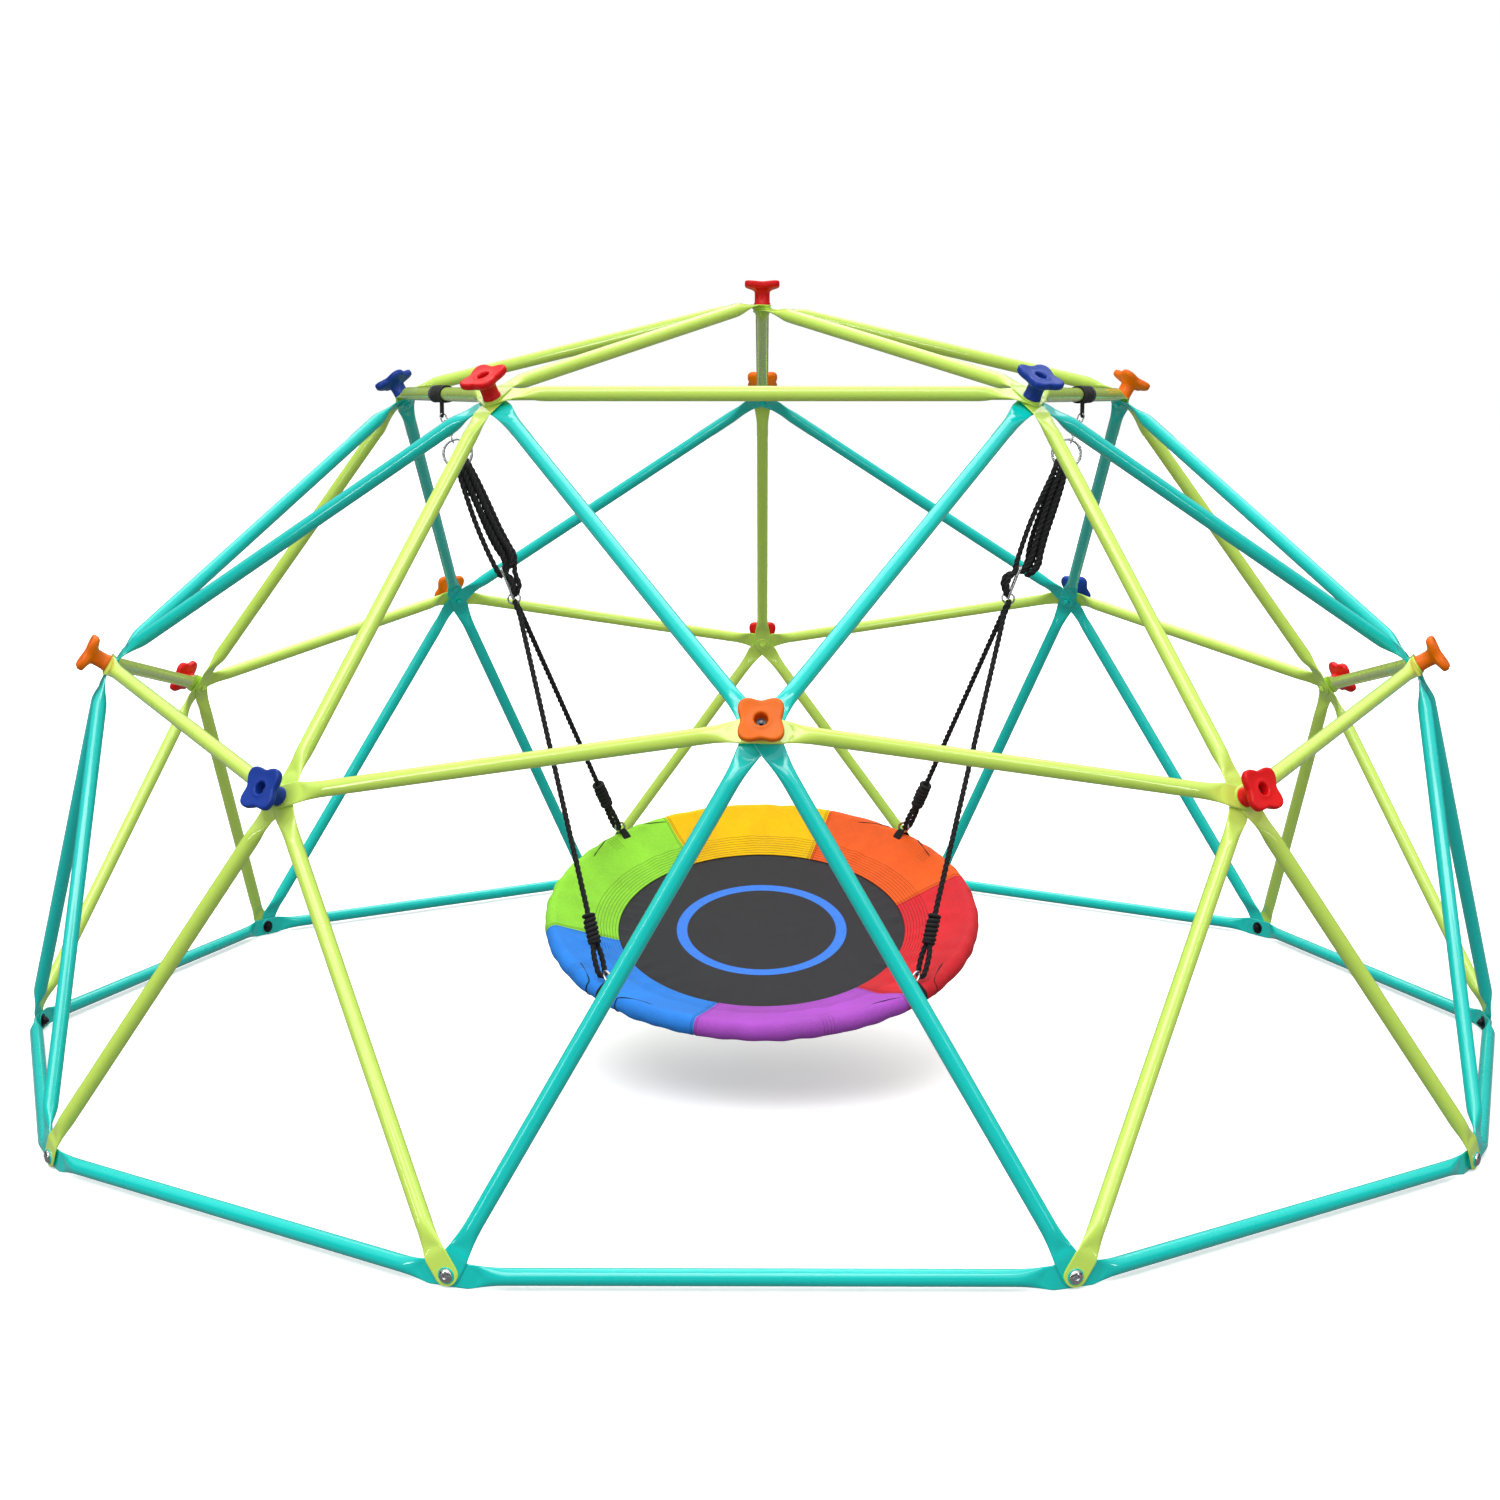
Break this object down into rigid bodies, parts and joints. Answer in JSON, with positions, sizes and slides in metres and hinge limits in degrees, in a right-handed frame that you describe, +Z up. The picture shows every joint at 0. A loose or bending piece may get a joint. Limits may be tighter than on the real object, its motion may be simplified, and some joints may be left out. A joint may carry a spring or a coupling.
{
  "type": "dome climber",
  "caption": "Geodesic climbing dome of bolted steel tubes with four-lobed climbing knobs and a hanging saucer swing.",
  "frame": {"origin": "centre of the base ring's outline, on the ground", "axes": "+X to the right across the widest span, +Y to the back, +Z up; the front is the side where the swing hangs nearer to the tubes"},
  "size_m": [3.657, 3.5073, 1.8528],
  "materials": {
    "teal_paint": "glossy powder coat",
    "lime_paint": "glossy powder coat",
    "knob_red": "glossy moulded plastic",
    "knob_orange": "glossy moulded plastic",
    "knob_blue": "glossy moulded plastic",
    "black_webbing": "woven webbing",
    "black_rope": "braided rope",
    "zinc_steel": "zinc plated",
    "ring_steel": "painted",
    "cover_fabric": "coated fabric in six colours",
    "mat_fabric": "coated fabric"
  },
  "bodies": {
    "frame": {"base_ring": "teal_paint", "teal_cross_1": "teal_paint", "teal_cross_2": "teal_paint", "teal_cross_3": "teal_paint", "teal_cross_4": "teal_paint", "teal_cross_5": "teal_paint", "lime_rib_1": "lime_paint", "lime_rib_2": "lime_paint", "lime_rib_3": "lime_paint", "lime_rib_4": "lime_paint", "lime_rib_5": "lime_paint", "waist_ring": "lime_paint", "crown_rail_1": "lime_paint", "crown_rail_2": "lime_paint", "crown_rail_3": "lime_paint", "crown_rail_4": "lime_paint", "crown_rail_5": "lime_paint", "apex_spoke_1": "lime_paint", "apex_spoke_2": "lime_paint", "apex_spoke_3": "lime_paint", "apex_spoke_4": "lime_paint", "apex_spoke_5": "lime_paint", "knob_apex": "knob_red", "knob_crown_1": "knob_blue", "knob_crown_2": "knob_orange", "knob_crown_3": "knob_orange", "knob_crown_4": "knob_blue", "knob_crown_5": "knob_red", "knob_waist_1": "knob_orange", "knob_waist_2": "knob_red", "knob_waist_3": "knob_orange", "knob_waist_4": "knob_red", "knob_waist_5": "knob_blue", "knob_waist_6": "knob_red", "knob_waist_7": "knob_orange", "knob_waist_8": "knob_red", "knob_waist_9": "knob_orange", "knob_waist_10": "knob_blue", "strap_left": "black_webbing", "strap_right": "black_webbing"},
    "hanger": {"chain_left": "zinc_steel", "chain_right": "zinc_steel", "carabiner_left": "zinc_steel", "carabiner_right": "zinc_steel", "rope_bundle_left": "black_rope", "rope_bundle_right": "black_rope", "rope_adjuster_left": "zinc_steel", "rope_adjuster_right": "zinc_steel"},
    "saucer": {"rim_hanger_front_left": "black_webbing", "rim_hanger_front_right": "black_webbing", "rim_hanger_back_right": "black_webbing", "rim_hanger_back_left": "black_webbing", "rope_front_left": "black_rope", "rope_front_right": "black_rope", "rope_back_right": "black_rope", "rope_back_left": "black_rope", "saucer_ring": "ring_steel", "saucer_cover": "cover_fabric", "saucer_mat": "mat_fabric"}
  },
  "joints": [
    {"name": "swing", "type": "hinge", "parent": "frame", "child": "hanger", "pos_m": [0, -0.23855, 1.53793], "axis": [1, 0, 0], "range_deg": [-30, 30]},
    {"name": "saucer_rock", "type": "hinge", "parent": "hanger", "child": "saucer", "pos_m": [0, -0.23855, 1.09485], "axis": [1, 0, 0], "range_deg": [-12, 12]}
  ]
}
